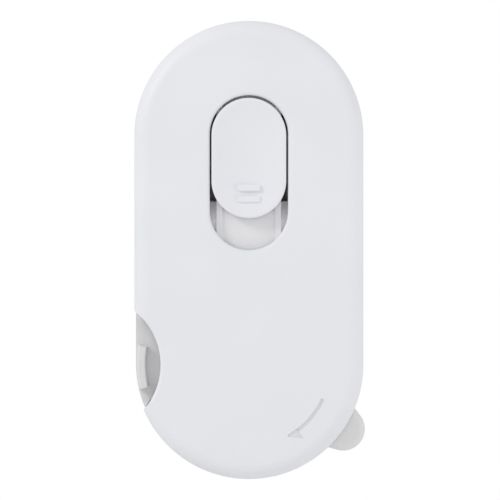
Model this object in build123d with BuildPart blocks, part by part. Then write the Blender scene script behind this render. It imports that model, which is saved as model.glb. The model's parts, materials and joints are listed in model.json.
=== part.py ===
from build123d import *
from math import acos, cos, degrees, pi, radians, sin, sqrt, tan
import os

# Stair gate latch, fixed to a wall or post by a hidden steel plate.
# A finger tab on a turn wheel drives a bolt out of the right-hand side through a
# gear sector and a rack. A thumb slide on the front drops a lock bar into the
# wheel, so that a child can't turn it.
#
# Frame, in millimetres: the origin is the middle of the face on the wall, +Z is
# up, +X is to the right of someone facing the latch, and the front faces -Y.
# A "depth" is a distance in front of the wall, so it is -Y.

# ---- Driving dimensions -------------------------------------------------------
case_width = 60.0
case_height = 120.0
case_depth = 25.0
wall = 2.2  # moulded wall of both shells
edge_round = 4.2  # soft outer edge of the front
part_line = 10.4  # depth at which the two shells meet
shell_back = 0.6  # the rear shell stops just short of the wall
shell_inset = 0.15  # the rear shell is this much smaller all round
floor_back, floor_front = 3.1, 5.0  # the rear shell's floor
running_gap = 0.3  # between mouldings that slide past each other

slot_width, slot_height = 20.4, 40.4  # opening for the thumb slide
slot_bottom = 0.0
slide_gap = 0.45  # button to slot, each side
slide_travel = 7.7
button_height = 31.4
dish_depth = 1.3

arc_z = (case_height - case_width) / 2  # centres of the rounded ends
axis_z = -arc_z  # the wheel turns about the lower one
wheel_radius = 27.4
wheel_back, wheel_front = 10.8, 14.0  # depths of the wheel's web
wheel_turn = 36.0  # degrees, clockwise from the front
tab_angle = -34.6  # finger tab at rest
tab_reach = 30.15  # tab's round end is centred here
tab_radius = 5.75
tab_front = 16.0
notch_radius = 17.8  # thumb notch in the front cover's side
notch_bite = 6.95  # how far the notch comes in from the side
rim_inset = 0.35  # the wheel's rim fills the thumb notch, this far inside the case
grip_front = 16.2  # top of the thumb rib
arrow_radius = 21.3  # arrow's curve about the wheel's axis

gear_module = 1.5
gear_teeth = 25
gear_back, gear_front = 6.0, 9.8  # depths of the teeth, rack and bolt
backlash = 0.2
bolt_top = -1.6
bolt_end = 29.2
guide_fit = 0.08  # a guided part's play on each side

plate_width, plate_height = 50.0, 110.0
plate_back, plate_front = 1.0, 2.8
plate_hole_z = 46.0
plate_hole_radius = 2.3

# ---- Sizes that follow --------------------------------------------------------
case_radius = case_width / 2
inner_radius = case_radius - wall
front_inside = case_depth - wall
slot_mid_z = slot_bottom + slot_height / 2
button_width = slot_width - 2 * slide_gap
button_bottom = slot_bottom + slot_height - 0.7 - button_height
button_mid_z = button_bottom + button_height / 2
notch_x = -(case_radius + notch_radius - notch_bite)
cover_window_front = tab_front + 0.5
notch_wall_back = grip_front + 0.4
rim_trim = notch_radius - 0.4  # the rim's clearance inside the notch
rim_x = case_radius - rim_inset
rim_corner = sqrt(rim_x**2 + rim_trim**2 - (-notch_x - rim_x) ** 2)  # its radius from the axis

pitch_radius = gear_module * gear_teeth / 2
base_radius = pitch_radius * cos(radians(20))  # involute of a 20 degree rack
tip_radius = pitch_radius + gear_module
root_radius = pitch_radius - 1.25 * gear_module
tooth_pitch = pi * gear_module
tooth_half = (tooth_pitch - backlash) / 4  # half a tooth's thickness on the pitch line
tooth_angle = 360 / gear_teeth
rack_line = axis_z + pitch_radius
bolt_bottom = rack_line + 1.25 * gear_module
bolt_mid_z = (bolt_top + bolt_bottom) / 2

boss_spots = [(-18, 44), (18, 44), (-21.5, 4.5), (21.5, 4.5)]
boss_radius = 3.5
bridge_screw_spots = [(-5.5, 46), (5.5, 46), (-5.5, -5), (5.5, -5)]
post_radius, bush_radius = 4.0, 5.5
sector_screw_angles = [20, 160]  # below the teeth, either side of the hub
sector_screw_radius = 8.75
detent_angle = 200.0
hub_radius = 12.0

bridge_half = 8.45  # floor of the slot, with the button's legs outside it
bridge_back, bridge_front = 19.7, 21.5
pad_back = 22.1  # thickened seat round the slot, inside the cover
button_back, button_front = 22.15, 25.2
rail_inner, rail_front = 6.9, button_back - guide_fit
leg_inner, leg_outer = 8.75, 9.65
leg_width, leg_shoulder_side = 3.8, 1.0
bar_back, bar_front = 10.8, 13.6  # lock bar
bar_half = 10.6
guide_half = bar_half + guide_fit
nose_half = 2.5
nose_tip_z = axis_z + wheel_radius + 0.8
slide_detent_z = 20.0
leg_z = slide_detent_z + slide_travel / 2  # between the two detent notches

os.makedirs("parts", exist_ok=True)


# ---- Helpers ------------------------------------------------------------------
def level(depth):
    """A plane parallel to the wall: its x is +X, its y is +Z, and it faces out."""
    return Plane.XZ.offset(depth)


def wheel_level(depth, angle=0.0):
    """The same, centred on the wheel's axis, with its x turned to an angle."""
    return Plane(
        origin=(0, -depth, axis_z),
        x_dir=(cos(radians(angle)), 0, sin(radians(angle))),
        z_dir=(0, -1, 0),
    )


def stadium(width, height, z=0.0):
    """Upright slot-shaped outline centred on x = 0."""
    with Locations((0, z)):
        SlotOverall(height, width, rotation=90)


def polar(radius, angle):
    """A point in the wheel's plane."""
    return (radius * cos(radians(angle)), radius * sin(radians(angle)))


def block(x_range, z_range, depth_range, mode=Mode.ADD):
    """A plain box between two x's, two z's and two depths."""
    with BuildSketch(level(depth_range[0])) as outline:
        with Locations((sum(x_range) / 2, sum(z_range) / 2)):
            Rectangle(x_range[1] - x_range[0], z_range[1] - z_range[0])
    extrude(outline.sketch, amount=depth_range[1] - depth_range[0], mode=mode)


def round_bar(spots, radius, depth_range, mode=Mode.ADD):
    """Round bosses, shanks or holes standing off the wall at each spot."""
    with BuildSketch(level(depth_range[0])) as outline:
        with Locations(*spots):
            Circle(radius)
    extrude(outline.sketch, amount=depth_range[1] - depth_range[0], mode=mode)


def screws(spots, head, head_depths, shank, shank_depths):
    """Pan-head screws pointing out from the wall, with a cross recess and a cone tip."""
    cross, cross_deep, tip = head * 0.28, 0.9, shank * 0.9
    round_bar(spots, head, head_depths)
    round_bar(spots, shank, (shank_depths[0], shank_depths[1] - tip))
    with Locations(*[(x, -(shank_depths[1] - tip / 2), z) for x, z in spots]):
        Cone(shank, shank * 0.35, tip, rotation=(90, 0, 0))
    for x, z in spots:
        for wide, tall in ((head * 1.1, cross), (cross, head * 1.1)):
            block(
                (x - wide / 2, x + wide / 2),
                (z - tall / 2, z + tall / 2),
                (head_depths[0], head_depths[0] + cross_deep),
                Mode.SUBTRACT,
            )


def ring_sector(inner, outer, start, end):
    """Piece of a flat ring about the origin, between two angles."""
    middle = (start + end) / 2
    with BuildLine() as edge:
        ThreePointArc(polar(inner, start), polar(inner, middle), polar(inner, end))
        Line(polar(inner, end), polar(outer, end))
        ThreePointArc(polar(outer, end), polar(outer, middle), polar(outer, start))
        Line(polar(outer, start), polar(inner, start))
    make_face(edge.edges())


def finish(builder, name):
    builder.part.label = name
    export_step(builder.part, f"parts/{name}.step")


# ---- Front cover --------------------------------------------------------------
def arrow_outline():
    """Curved arrow with a one-sided head, concentric with the wheel."""
    start, neck, tip, barb = -24.7, -53.0, -61.3, -53.4
    half = 0.5
    mid = (start + neck) / 2
    with BuildLine() as edge:
        ThreePointArc(
            polar(arrow_radius - half, start),
            polar(arrow_radius - half, mid),
            polar(arrow_radius - half, tip),
        )
        Line(polar(arrow_radius - half, tip), polar(arrow_radius + 2.6, barb))
        Line(polar(arrow_radius + 2.6, barb), polar(arrow_radius + half, neck))
        ThreePointArc(
            polar(arrow_radius + half, neck),
            polar(arrow_radius + half, mid),
            polar(arrow_radius + half, start),
        )
        Line(polar(arrow_radius + half, start), polar(arrow_radius - half, start))
    make_face(edge.edges())


notch_spot = (notch_x, axis_z)
slot_round = 0.9
arrow_deep = 0.3

with BuildPart() as front_cover:
    with BuildSketch(level(part_line)):
        stadium(case_width, case_height)
    extrude(amount=case_depth - part_line)
    fillet(front_cover.edges().group_by(Axis.Y)[0], radius=edge_round)
    with BuildSketch(level(part_line)):
        stadium(case_width - 2 * wall, case_height - 2 * wall)
    extrude(amount=front_inside - part_line, mode=Mode.SUBTRACT)
    inner_rim = front_cover.edges().filter_by_position(
        Axis.Y, -front_inside - 0.01, -front_inside + 0.01
    )
    fillet(inner_rim, radius=edge_round - wall)
    # seat for the bridge, round the slot
    with BuildSketch(level(pad_back)):
        stadium(slot_width + 5, slot_height + 5, slot_mid_z)
        with Locations((0, (49 - 8) / 2)):
            Rectangle(17, 57)
    extrude(amount=front_inside - pad_back + 0.1)
    # curved wall that closes the cover behind the thumb notch
    with BuildSketch(level(notch_wall_back)):
        stadium(case_width - wall, case_height - wall)
        with Locations(notch_spot):
            Circle(notch_radius + 2.0, mode=Mode.INTERSECT)
    extrude(amount=front_inside - notch_wall_back + 0.1)
    round_bar(boss_spots, boss_radius, (part_line, front_inside + 0.1))
    round_bar([(0, axis_z)], 5.5, (17.2, front_inside + 0.1))
    with BuildSketch(level(0)):
        with Locations(notch_spot):
            Circle(notch_radius)
    extrude(amount=case_depth + 1, mode=Mode.SUBTRACT)
    with BuildSketch(level(pad_back - 1)):
        stadium(slot_width, slot_height, slot_mid_z)
    extrude(amount=wall + 3, mode=Mode.SUBTRACT)
    slot_rim = front_cover.edges().filter_by_position(
        Axis.Y, -case_depth - 0.01, -case_depth + 0.01
    )
    slot_rim = slot_rim.filter_by_position(Axis.Z, slot_bottom - 1, slot_bottom + slot_height + 1)
    slot_rim = [e for e in slot_rim if abs(e.center().X) < case_width / 4 or e.length < 1]
    fillet(slot_rim, radius=slot_round)
    # window for the finger tab: from just above its rest place to past its limit
    window = (-17.0, -88.0)
    outside = case_radius + 3
    with BuildSketch(wheel_level(part_line - 1)):
        with BuildLine():
            Line((0, 0), polar(outside, window[0]))
            ThreePointArc(
                polar(outside, window[0]),
                polar(outside, sum(window) / 2),
                polar(outside, window[1]),
            )
            Line(polar(outside, window[1]), (0, 0))
        make_face()
        Circle(inner_radius - 3, mode=Mode.SUBTRACT)
    extrude(amount=cover_window_front - part_line + 1, mode=Mode.SUBTRACT)
    # way through the side wall for the rim's corner, above the thumb notch
    corner_way = (part_line - 1, wheel_front + running_gap)
    with BuildSketch(wheel_level(corner_way[0])):
        Circle(rim_corner + 0.4)
        with Locations((-case_radius + 1, 16)):
            Rectangle(5, 8, mode=Mode.INTERSECT)
    extrude(amount=corner_way[1] - corner_way[0], mode=Mode.SUBTRACT)
    block((-case_radius - 1, 0.5 - inner_radius), (axis_z + 12, axis_z + 15.2), corner_way, Mode.SUBTRACT)
    with BuildSketch(wheel_level(case_depth - arrow_deep)):
        arrow_outline()
    extrude(amount=1, mode=Mode.SUBTRACT)
    # pilot holes
    round_bar(boss_spots, 1.5, (part_line, 20.0), Mode.SUBTRACT)
    round_bar([(0, axis_z)], 1.65, (17.2, 22.5), Mode.SUBTRACT)
    round_bar(bridge_screw_spots, 1.1, (pad_back, 23.9), Mode.SUBTRACT)
finish(front_cover, "front_cover")

# ---- Rear shell ---------------------------------------------------------------
shell_width = case_width - 2 * shell_inset
shell_height = case_height - 2 * shell_inset
cavity_radius = inner_radius - 0.2
lip_front = part_line + 2.0
port_z = (bolt_bottom - 1.7, bolt_top + 1.7)
collar_x = (25.0, 29.5)
rib_front = gear_back - guide_fit  # ribs that the bolt slides on
bolt_lip_back, bolt_lip_front = gear_front + guide_fit, wheel_back - 0.3
bar_guide_z = (1.2, 38.0)
bar_guide_front = 14.2
ledge_x, ledge_front = 10.0, bar_back - guide_fit
spring_thick = 0.4
plate_screw_depth = 6.6
leaf_posts = 8.6  # along the wheel's detent spring, either side of its middle
leaf_line = hub_radius + 0.8 + spring_thick / 2
slide_leaf_x = guide_half + 0.9

with BuildPart() as rear_shell:
    with BuildSketch(level(shell_back)):
        stadium(shell_width, shell_height)
    extrude(amount=part_line - shell_back)
    chamfer(rear_shell.edges().group_by(Axis.Y)[-1], length=0.8)
    with BuildSketch(level(floor_front)):
        stadium(2 * cavity_radius, 2 * cavity_radius + 2 * arc_z)
    extrude(amount=part_line - floor_front, mode=Mode.SUBTRACT)
    with BuildSketch(level(shell_back - 0.1)):
        stadium(plate_width + 0.6, plate_height + 0.6)
    extrude(amount=floor_back - shell_back + 0.1, mode=Mode.SUBTRACT)
    # locating lip, inside the cover's upper half
    with BuildSketch(level(part_line - 2)):
        with Locations((0, 5.0 + case_height / 2)):
            Rectangle(case_width, case_height)
        with Locations((0, 0)):
            SlotOverall(2 * cavity_radius + 2 * arc_z, 2 * cavity_radius, 90, mode=Mode.INTERSECT)
            SlotOverall(
                2 * cavity_radius - 2.4 + 2 * arc_z, 2 * cavity_radius - 2.4, 90, mode=Mode.SUBTRACT
            )
    extrude(amount=lip_front - part_line + 2)
    # screw bosses
    round_bar(boss_spots, boss_radius, (floor_front, part_line))
    round_bar(boss_spots, boss_radius + 0.8, (floor_front, 7.2))
    # end pads for the screws that hold the case to the wall plate
    block((-4.5, 4.5), (55.5, 57.8), (floor_front, 9.8))
    block((-4.5, 4.5), (-57.8, -55.5), (floor_front, 9.8))
    # guides for the lock bar, with a ledge under each edge
    for side in (-1, 1):
        outer, inner = side * (guide_half + 1.6), side * guide_half
        block(sorted((inner, outer)), bar_guide_z, (floor_front, bar_guide_front))
        block(sorted((side * ledge_x, inner)), bar_guide_z, (floor_front, ledge_front))
    # guides for the bolt
    block((-24, 25), (bolt_top + guide_fit, 0.1), (floor_front, bolt_lip_front))
    block((-24, 25), (bolt_top - 1.3, bolt_top + 0.2), (bolt_lip_back, bolt_lip_front))
    for rib_z in (bolt_top - 1.2, bolt_bottom + 1.2):
        block((-24, 24), (rib_z - 0.5, rib_z + 0.5), (floor_front, rib_front))
    # slotted posts for the wheel's detent spring
    with BuildSketch(wheel_level(floor_front, detent_angle)):
        with Locations((leaf_line, -leaf_posts), (leaf_line, leaf_posts)):
            Rectangle(2.6, 2.2)
    extrude(amount=9.4 - floor_front)
    with BuildSketch(wheel_level(6.2, detent_angle)):
        with Locations((leaf_line, -leaf_posts), (leaf_line, leaf_posts)):
            Rectangle(spring_thick + 0.04, 2.4)
    extrude(amount=4, mode=Mode.SUBTRACT)
    # pocket and slots for the slide's detent spring, in the right-hand guide
    block(
        (guide_half - 0.1, guide_half + 1.7), (13.0, 27.0), (bar_back, bar_guide_front + 1), Mode.SUBTRACT
    )
    block(
        (slide_leaf_x - 0.22, slide_leaf_x + 0.22), (10.6, 29.4), (11.0, bar_guide_front + 1), Mode.SUBTRACT
    )
    # holes
    round_bar(boss_spots, 1.6, (floor_back - 1, part_line + 1), Mode.SUBTRACT)
    round_bar(boss_spots, 3.1, (floor_back - 1, 6.0), Mode.SUBTRACT)
    round_bar([(0, plate_hole_z), (0, -plate_hole_z)], 5.5, (0, floor_front + 1), Mode.SUBTRACT)
    round_bar([(0, axis_z)], 1.7, (0, floor_front + 1), Mode.SUBTRACT)
    with Locations((0, -(floor_back + 0.75), axis_z)):
        Cone(3.2, 1.7, 1.5, rotation=(90, 0, 0), mode=Mode.SUBTRACT)
    for end in (-1, 1):
        block((-6.3, 6.3), sorted((end * 51.4, end * 53.8)), (floor_back - 1, floor_front + 1), Mode.SUBTRACT)
        with Locations((0, -plate_screw_depth, end * 57.5)):
            Cylinder(1.6, 8, mode=Mode.SUBTRACT)
        with Locations((0, -plate_screw_depth, end * (58.35 + 1.5))):
            Cylinder(2.9, 3.0, mode=Mode.SUBTRACT)
    # port for the bolt
    block((25.8, case_radius + 1), port_z, (floor_front, part_line + 1), Mode.SUBTRACT)
finish(rear_shell, "rear_shell")

# ---- Wall plate and pad -------------------------------------------------------
tab_z, tab_thick, tab_half = 51.7, 1.8, 6.0
plate_spots = [(0, plate_hole_z), (0, -plate_hole_z)]

with BuildPart() as wall_plate:
    with BuildSketch(level(plate_back)):
        stadium(plate_width, plate_height)
        Rectangle(plate_width, 2 * (tab_z + tab_thick), mode=Mode.INTERSECT)
    extrude(amount=plate_front - plate_back)
    for end in (-1, 1):
        block(
            (-tab_half, tab_half), sorted((end * tab_z, end * (tab_z + tab_thick))), (plate_back, 9.2)
        )
    bends = wall_plate.edges().filter_by(Axis.X).filter_by_position(Axis.Y, -3.0, -2.7)
    fillet(bends, radius=0.8)
    round_bar(plate_spots, plate_hole_radius, (0, 4), Mode.SUBTRACT)
    for end in (-1, 1):
        with Locations((0, -plate_screw_depth, end * (tab_z + 1))):
            Cylinder(1.5, 6, mode=Mode.SUBTRACT)
finish(wall_plate, "wall_plate")

with BuildPart() as backing_pad:
    with BuildSketch(level(0)):
        stadium(plate_width - 1, plate_height - 1)
        with Locations(*plate_spots):
            Circle(2.6, mode=Mode.SUBTRACT)
    extrude(amount=plate_back)
finish(backing_pad, "backing_pad")

# ---- Slide bridge: the floor of the slot --------------------------------------
ear_inner = (-1.6, slot_bottom + slot_height + 1.6)
channel_top = leg_z - slide_travel - leg_width / 2 - leg_shoulder_side - 0.5
channel_half, channel_slope = 11.0, 5.0

with BuildPart() as slide_bridge:
    block((-bridge_half, bridge_half), (-8.0, 49.0), (bridge_back, bridge_front))
    for low, high in ((-8.0, ear_inner[0]), (ear_inner[1], 49.0)):
        block((-bridge_half, bridge_half), (low, high), (bridge_front, pad_back))
    fillet(slide_bridge.edges().filter_by(Axis.Y).group_by(Axis.Z)[0], radius=2.0)
    fillet(slide_bridge.edges().filter_by(Axis.Y).group_by(Axis.Z)[-1], radius=2.0)
    for side in (-1, 1):
        rail = sorted((side * rail_inner, side * bridge_half))
        block(rail, (ear_inner[0] - 0.1, ear_inner[1] + 0.1), (bridge_front, rail_front))
    # floor of the channels beside the rails, sloping back towards the button's legs
    with BuildSketch(Plane.YZ.offset(-channel_half)):
        with BuildLine():
            Polyline(
                (-bridge_back, ear_inner[0]),
                (-bridge_front, ear_inner[0]),
                (-bridge_front, channel_top - channel_slope),
                (-bridge_back - 0.3, channel_top),
                (-bridge_back, channel_top),
                close=True,
            )
        make_face()
    extrude(amount=2 * channel_half)
    round_bar(bridge_screw_spots, 1.2, (bridge_back - 1, pad_back + 1), Mode.SUBTRACT)
finish(slide_bridge, "slide_bridge")

# ---- Pivot --------------------------------------------------------------------
pivot_spot = [(0, axis_z)]
post_front = 17.2

with BuildPart() as pivot_post:
    round_bar(pivot_spot, post_radius, (floor_front, post_front))
    round_bar(pivot_spot, 1.7, (floor_front - 1, post_front + 1), Mode.SUBTRACT)
finish(pivot_post, "pivot_post")

with BuildPart() as thrust_washer:
    round_bar(pivot_spot, 7.0, (floor_front, 5.5))
    round_bar(pivot_spot, post_radius + 0.05, (floor_front - 1, 6.0), Mode.SUBTRACT)
finish(thrust_washer, "thrust_washer")

with BuildPart() as wheel_washer:
    round_bar(pivot_spot, 7.0, (post_front - 0.5, post_front))
    round_bar(pivot_spot, post_radius + 0.05, (post_front - 1, post_front + 1), Mode.SUBTRACT)
finish(wheel_washer, "wheel_washer")

with BuildPart() as wheel_bush:
    round_bar(pivot_spot, bush_radius, (gear_back - 0.4, post_front - 0.6))
    round_bar(pivot_spot, post_radius + 0.05, (floor_front, post_front), Mode.SUBTRACT)
finish(wheel_bush, "wheel_bush")

with BuildPart() as pivot_screw:
    round_bar(pivot_spot, 1.58, (floor_back + 0.3, 20.2))
    with Locations((0, -(floor_back + 0.8), axis_z)):
        Cone(3.05, 1.58, 1.4, rotation=(90, 0, 0))
    with Locations((0, -20.9, axis_z)):
        Cone(1.58, 0.5, 1.4, rotation=(90, 0, 0))
    for wide, tall in ((3.2, 0.7), (0.7, 3.2)):
        block(
            (-wide / 2, wide / 2),
            (axis_z - tall / 2, axis_z + tall / 2),
            (floor_back - 1, floor_back + 1.0),
            Mode.SUBTRACT,
        )
finish(pivot_screw, "pivot_screw")

# ---- Screws that hold the case together ---------------------------------------
with BuildPart() as case_screws:
    screws(boss_spots, 2.7, (4.0, 6.0), 1.45, (6.0, 18.5))
finish(case_screws, "case_screws")

with BuildPart() as bridge_screws:
    screws(bridge_screw_spots, 2.0, (18.3, bridge_back), 1.08, (bridge_back, 23.6))
finish(bridge_screws, "bridge_screws")

with BuildPart() as plate_screws:
    for end in (-1, 1):
        with Locations((0, -plate_screw_depth, end * 54.5)):
            Cylinder(1.48, 8.0)
        with Locations((0, -plate_screw_depth, end * 59.0)):
            Cylinder(2.7, 1.3)
        for wide, deep in ((3.0, 0.7), (0.7, 3.0)):
            with Locations((0, -plate_screw_depth, end * 59.4)):
                Box(wide, deep, 1.0, mode=Mode.SUBTRACT)
finish(plate_screws, "plate_screws")

# ---- Turn wheel: thumb rib at the left, finger tab at the right ----------------
rib_angles = (170.2, 193.4)
rib_inner, rib_outer = 27.1, 29.45
tab_root, tab_root_half = 25.0, 7.8
lock_width, lock_depth = 2 * nose_half + 1.0, wheel_radius - 19.2

with BuildPart() as turn_wheel:
    with BuildSketch(wheel_level(wheel_back)):
        stadium(2 * rim_x, 2 * rim_x + 2 * arc_z, -axis_z)
        with Locations((notch_x, 0)):
            Circle(rim_trim, mode=Mode.INTERSECT)
        Circle(wheel_radius)
        # notches in the rim that the lock bar drops into, one for each end of the turn
        with PolarLocations(0, 2, 90, 2 * wheel_turn, rotate=True, endpoint=False):
            with Locations((wheel_radius, 0)):
                Rectangle(2 * lock_depth, lock_width, mode=Mode.SUBTRACT)
    extrude(amount=wheel_front - wheel_back)
    with BuildSketch(wheel_level(wheel_back, tab_angle)) as tab_outline:
        with Locations((tab_root - 1.5, 0)):
            Rectangle(3, 2 * tab_root_half)
        with Locations((tab_reach, 0)):
            Circle(tab_radius)
        make_hull()
    extrude(amount=tab_front - wheel_back)
    fillet(turn_wheel.edges().filter_by_position(Axis.Y, -tab_front - 0.01, -tab_front + 0.01), 1.7)
    with BuildSketch(wheel_level(wheel_front - 0.1)):
        ring_sector(rib_inner, rib_outer, *rib_angles)
    extrude(amount=grip_front - wheel_front + 0.1)
    fillet(turn_wheel.edges().filter_by_position(Axis.Y, -grip_front - 0.01, -grip_front + 0.01), 0.6)
    round_bar(pivot_spot, 8.0, (wheel_front - 0.1, post_front - 0.6))
    round_bar(pivot_spot, bush_radius, (wheel_back - 1, post_front), Mode.SUBTRACT)
    with BuildSketch(wheel_level(wheel_back - 1)):
        with Locations(*[polar(sector_screw_radius, a) for a in sector_screw_angles]):
            Circle(1.1)
    extrude(amount=13.5 - wheel_back + 1, mode=Mode.SUBTRACT)
finish(turn_wheel, "turn_wheel")


# ---- Gear sector, behind the wheel --------------------------------------------
def half_angle(radius):
    """Half the angle that an involute tooth takes up at a radius."""
    roll = acos(base_radius / max(radius, base_radius))
    lead = tan(radians(20)) - radians(20)
    return degrees(tooth_half / pitch_radius + lead - (tan(roll) - roll))


flank = [root_radius] + [
    base_radius + (tip_radius - base_radius) * step / 6 for step in range(7)
]
first_tooth, tooth_count = 90 - tooth_angle, 6
sector_ends = (first_tooth - tooth_angle / 2, first_tooth + (tooth_count - 0.5) * tooth_angle)
sector_edge = [(0, 0), polar(root_radius, sector_ends[0])]
for tooth in range(tooth_count):
    middle_angle = first_tooth + tooth * tooth_angle
    sector_edge += [polar(r, middle_angle - half_angle(r)) for r in flank]
    sector_edge += [polar(r, middle_angle + half_angle(r)) for r in reversed(flank)]
sector_edge.append(polar(root_radius, sector_ends[1]))

with BuildPart() as gear_sector:
    with BuildSketch(wheel_level(gear_back)):
        with BuildLine():
            Polyline(*sector_edge, close=True)
        make_face()
    extrude(amount=gear_front - gear_back)
    round_bar(pivot_spot, hub_radius, (gear_back - 0.4, wheel_back))
    # V notches in the hub for the detent spring, one for each end of the turn
    for notch_angle in (detent_angle, detent_angle + wheel_turn):
        with BuildSketch(wheel_level(gear_back - 1, notch_angle)):
            with BuildLine():
                Polyline(
                    (hub_radius - 1.0, 0), (hub_radius + 0.5, -2.2), (hub_radius + 0.5, 2.2), close=True
                )
            make_face()
        extrude(amount=6, mode=Mode.SUBTRACT)
    round_bar(pivot_spot, bush_radius, (floor_front, wheel_back + 1), Mode.SUBTRACT)
    with BuildSketch(wheel_level(gear_back - 1)):
        with Locations(*[polar(sector_screw_radius, a) for a in sector_screw_angles]):
            Circle(1.1)
    extrude(amount=6, mode=Mode.SUBTRACT)
    for angle in sector_screw_angles:
        x, z = polar(sector_screw_radius, angle)
        with Locations((x, -(gear_back - 0.4 + 0.55), axis_z + z)):
            Cone(2.2, 1.1, 1.1, rotation=(90, 0, 0), mode=Mode.SUBTRACT)
finish(gear_sector, "gear_sector")

with BuildPart() as sector_screws:
    for angle in sector_screw_angles:
        x, z = polar(sector_screw_radius, angle)
        round_bar([(x, axis_z + z)], 1.08, (6.3, 13.4))
        with Locations((x, -6.2, axis_z + z)):
            Cone(2.1, 1.08, 1.0, rotation=(90, 0, 0))
        block((x - 1.3, x + 1.3), (axis_z + z - 0.25, axis_z + z + 0.25), (5, 6.2), Mode.SUBTRACT)
finish(sector_screws, "sector_screws")

# ---- Bolt: moulded rack carrier with a steel tongue ---------------------------
rack_ends = (-21.0, 15.0)
tang_ends = (6.0, 15.0)
tang_z = (bolt_mid_z - 2.0, bolt_mid_z + 2.0)
tang_depths = (6.9, 8.9)
pin_spots = [(8.6, bolt_mid_z), (12.4, bolt_mid_z)]
lean = tan(radians(20))

with BuildPart() as rack_carrier:
    with BuildSketch(level(gear_back)):
        with Locations(((rack_ends[0] + rack_ends[1]) / 2, bolt_mid_z)):
            Rectangle(rack_ends[1] - rack_ends[0], bolt_top - bolt_bottom)
        for tooth in range(-4, 2):
            tooth_x = (tooth + 0.5) * tooth_pitch
            tip_half = tooth_half - gear_module * lean
            root_half = tooth_half + 1.25 * gear_module * lean
            with BuildLine():
                Polyline(
                    (tooth_x - root_half, bolt_bottom),
                    (tooth_x - tip_half, rack_line - gear_module),
                    (tooth_x + tip_half, rack_line - gear_module),
                    (tooth_x + root_half, bolt_bottom),
                    close=True,
                )
            make_face()
    extrude(amount=gear_front - gear_back)
    # weight-saving pocket in the back
    block((-18.0, 2.0), (bolt_mid_z - 1.8, bolt_mid_z + 1.8), (gear_back - 1, 8.2), Mode.SUBTRACT)
    block((tang_ends[0], 16.0), tang_z, tang_depths, Mode.SUBTRACT)
    round_bar(pin_spots, 1.0, (gear_back - 1, gear_front + 1), Mode.SUBTRACT)
finish(rack_carrier, "rack_carrier")

with BuildPart() as bolt_tongue:
    block((rack_ends[1], bolt_end), (bolt_bottom, bolt_top), (gear_back, gear_front))
    fillet(bolt_tongue.edges().group_by(Axis.X)[-1], radius=0.7)
    block((tang_ends[0] + 0.1, rack_ends[1]), tang_z, tang_depths)
    round_bar(pin_spots, 1.0, (gear_back, gear_front), Mode.SUBTRACT)
finish(bolt_tongue, "bolt_tongue")

with BuildPart() as tongue_pins:
    round_bar(pin_spots, 1.0, (gear_back + 0.1, gear_front - 0.1))
finish(tongue_pins, "tongue_pins")

with BuildPart() as bolt_guide:
    outer_z = (port_z[0] + 0.05, port_z[1] - 0.05)
    block((collar_x[0] + 0.9, collar_x[1]), outer_z, (floor_front, part_line))
    flange_z = (port_z[0] - 0.9, port_z[1] + 0.9)
    block((collar_x[0] + 0.9, collar_x[0] + 2.3), flange_z, (floor_front, part_line))
    bore_z = (bolt_bottom - guide_fit, bolt_top + guide_fit)
    block((collar_x[0], case_radius), bore_z, (gear_back - guide_fit, part_line + 1), Mode.SUBTRACT)
finish(bolt_guide, "bolt_guide")

# ---- Thumb slide --------------------------------------------------------------
dish_half = button_width / 2 - 0.9
dish_radius = (dish_half**2 + dish_depth**2) / (2 * dish_depth)
dish_centre = button_front - dish_depth + dish_radius
dish_run = button_height - button_width
button_ribs = [13.25, 16.2]
leg_shoulder = bar_front + 0.05
barb_back, barb_front = 10.1, bar_back - 0.05

with BuildPart() as slide_button:
    with BuildSketch(level(button_back)):
        stadium(button_width, button_height, button_mid_z)
    extrude(amount=button_front - button_back)
    fillet(slide_button.edges().group_by(Axis.Y)[0], radius=0.35)
    with Locations((0, -dish_centre, button_mid_z)):
        Cylinder(dish_radius, dish_run, mode=Mode.SUBTRACT)
    for end in (-1, 1):
        with Locations((0, -dish_centre, button_mid_z + end * dish_run / 2)):
            Sphere(dish_radius, mode=Mode.SUBTRACT)
    for rib_z in button_ribs:
        block((-2.95, 2.95), (rib_z - 0.85, rib_z + 0.85), (button_back + 0.5, button_front - 0.25))
    rib_tops = slide_button.edges().filter_by_position(
        Axis.Y, -button_front + 0.24, -button_front + 0.26
    )
    fillet(rib_tops, radius=0.3)
    for side in (-1, 1):
        leg = sorted((side * leg_inner, side * leg_outer))
        barb = sorted((side * (leg_inner - 0.6), side * leg_outer))
        half = leg_width / 2
        shoulder = half + leg_shoulder_side
        block(leg, (leg_z - shoulder, leg_z + shoulder), (leg_shoulder, button_back + 0.2))
        block(leg, (leg_z - half, leg_z + half), (barb_back, leg_shoulder))
        block(barb, (leg_z - half, leg_z + half), (barb_back, barb_front))
finish(slide_button, "slide_button")

bar_z = (5.6, 37.0)

with BuildPart() as lock_bar:
    block((-bar_half, bar_half), bar_z, (bar_back, bar_front))
    fillet(lock_bar.edges().filter_by(Axis.Y), radius=1.5)
    block((-nose_half, nose_half), (nose_tip_z, bar_z[0] + 1), (bar_back, bar_front))
    chamfer(lock_bar.edges().filter_by(Axis.Y).group_by(Axis.Z)[0], length=0.6)
    block((-4.5, 4.5), (12.0, 32.0), (bar_back - 1, bar_front + 1), Mode.SUBTRACT)
    for side in (-1, 1):
        slit = sorted((side * (leg_inner - 0.15), side * (leg_outer + 0.15)))
        half = leg_width / 2 + 0.1
        block(slit, (leg_z - half, leg_z + half), (bar_back - 1, bar_front + 1), Mode.SUBTRACT)
    for notch_z in (slide_detent_z, slide_detent_z + slide_travel):
        with BuildSketch(level(bar_back - 1)):
            with BuildLine():
                Polyline(
                    (bar_half - 0.8, notch_z),
                    (bar_half + 0.2, notch_z - 1.6),
                    (bar_half + 0.2, notch_z + 1.6),
                    close=True,
                )
            make_face()
        extrude(amount=5, mode=Mode.SUBTRACT)
finish(lock_bar, "lock_bar")

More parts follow.
